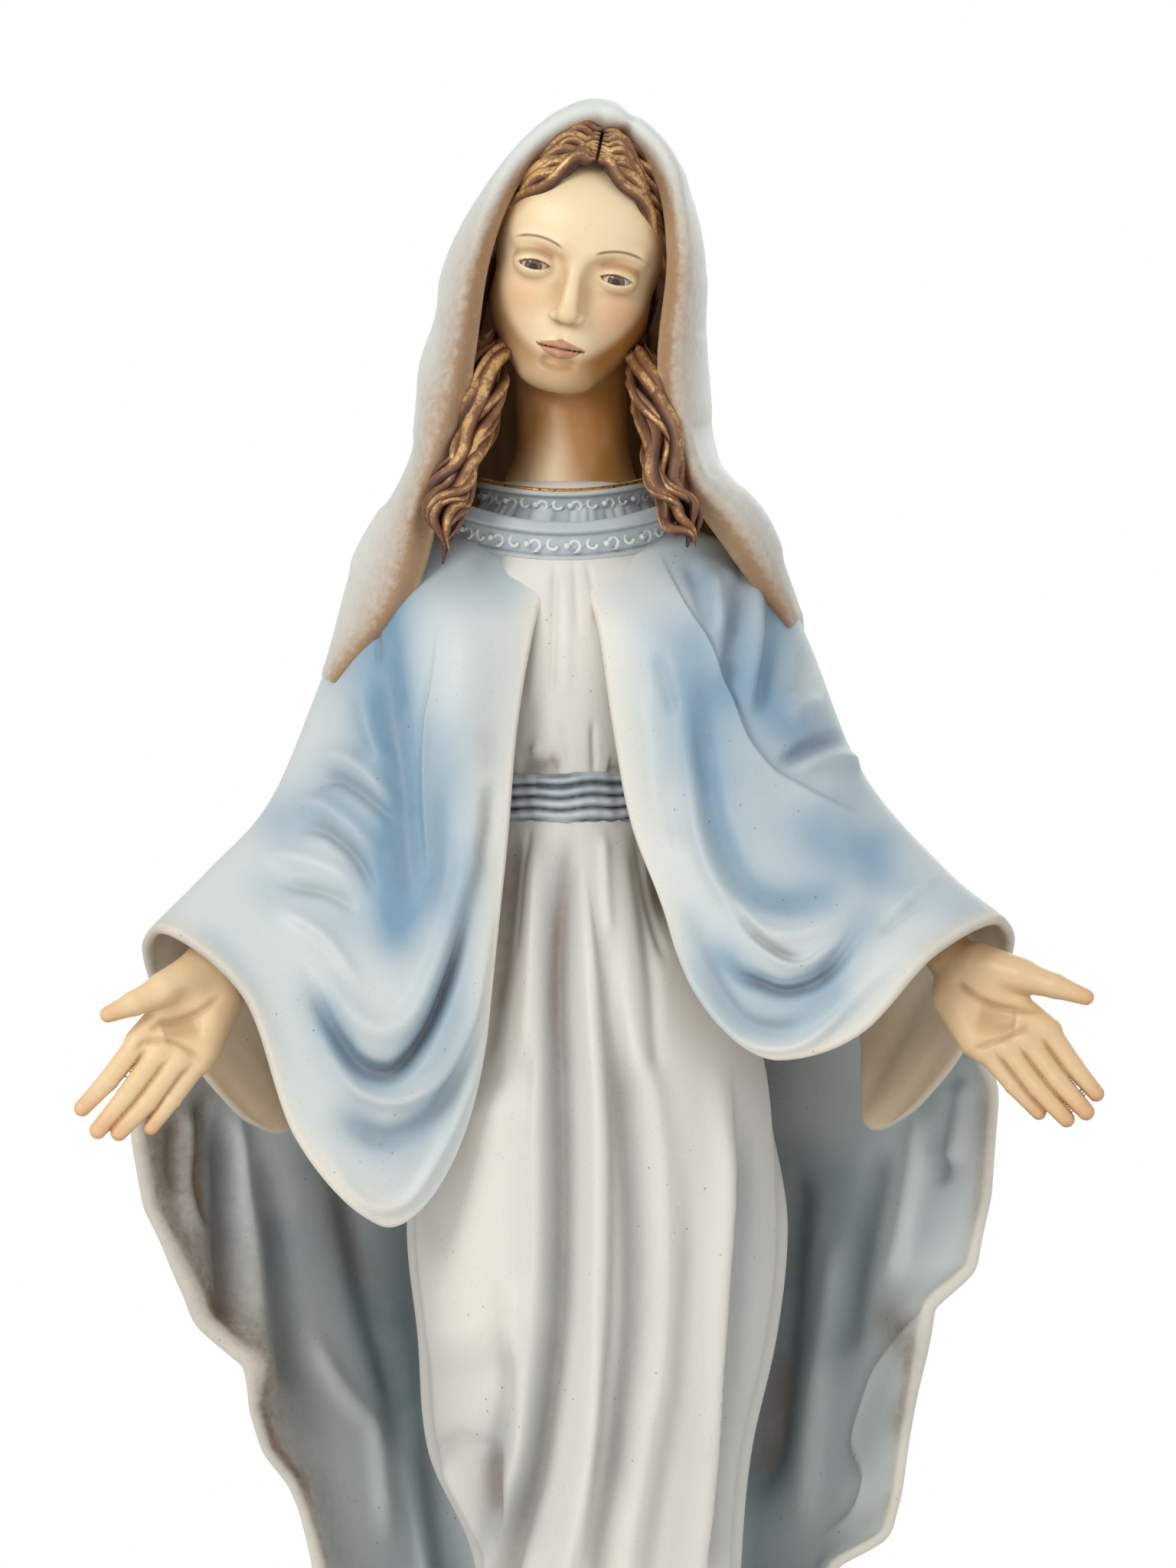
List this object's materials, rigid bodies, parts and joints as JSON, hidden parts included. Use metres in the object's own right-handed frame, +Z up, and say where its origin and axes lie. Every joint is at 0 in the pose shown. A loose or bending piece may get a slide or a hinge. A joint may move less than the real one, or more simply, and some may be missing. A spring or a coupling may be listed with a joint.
{
  "type": "madonna statue",
  "caption": "Painted standing figure of a veiled woman in a long dress and mantle, palms held open, on a low globe and round plinth.",
  "frame": {"origin": "middle of the felt under the plinth, on the ground", "axes": "+Z up, the figure faces -Y, and +X is the figure's left"},
  "size_m": [0.2759, 0.16, 0.6104],
  "materials": {
    "veil_paint": "pale mint white matt paint on cast resin, brown antique wash in the folds",
    "mantle_paint": "airbrushed pale blue matt paint on cast resin, cream rims, brown lining",
    "tunic_paint": "warm white matt paint on cast resin",
    "sash_paint": "grey blue matt paint",
    "collar_paint": "cream matt paint with a gold line",
    "skin_paint": "cream flesh paint with a soft sheen",
    "hair_paint": "brown paint brushed with gold",
    "eye_glass": "opaque glass eye",
    "globe_paint": "sponged blue satin paint",
    "plinth_paint": "cream satin paint",
    "felt": "glued green felt",
    "foam": "poured rigid foam",
    "steel": "zinc plated",
    "brass": "drawn tube",
    "beech": "plain dowel"
  },
  "bodies": {
    "figure": {"plinth": "plinth_paint", "felt_pad": "felt", "globe": "globe_paint", "spine_rod": "steel", "base_nut": "steel", "base_washer": "steel", "anchor_plate": "steel", "anchor_nut": "steel", "foam_core": "foam", "tunic": "tunic_paint", "sash": "sash_paint", "collar_band_upper": "collar_paint", "collar_band_lower": "collar_paint", "mantle_right": "mantle_paint", "mantle_left": "mantle_paint", "back_drape": "mantle_paint", "veil": "veil_paint", "right_arm": "skin_paint", "left_arm": "skin_paint", "right_hand_socket": "brass", "left_hand_socket": "brass", "head": "skin_paint", "neck_dowel": "beech", "right_eye": "eye_glass", "left_eye": "eye_glass", "hair_cap": "hair_paint", "hair_lock_right": "hair_paint", "hair_lock_left": "hair_paint", "right_foot": "skin_paint", "left_foot": "skin_paint"},
    "hand_right": {"right_hand": "skin_paint", "right_hand_pin": "steel"},
    "hand_left": {"left_hand": "skin_paint", "left_hand_pin": "steel"}
  },
  "joints": [
    {"name": "right_hand_pull", "type": "slide", "parent": "figure", "child": "hand_right", "axis": [-0.6292, -0.4562, -0.6292], "range_m": [0, 0.04]},
    {"name": "left_hand_pull", "type": "slide", "parent": "figure", "child": "hand_left", "axis": [0.5862, -0.4088, -0.6995], "range_m": [0, 0.04]}
  ]
}
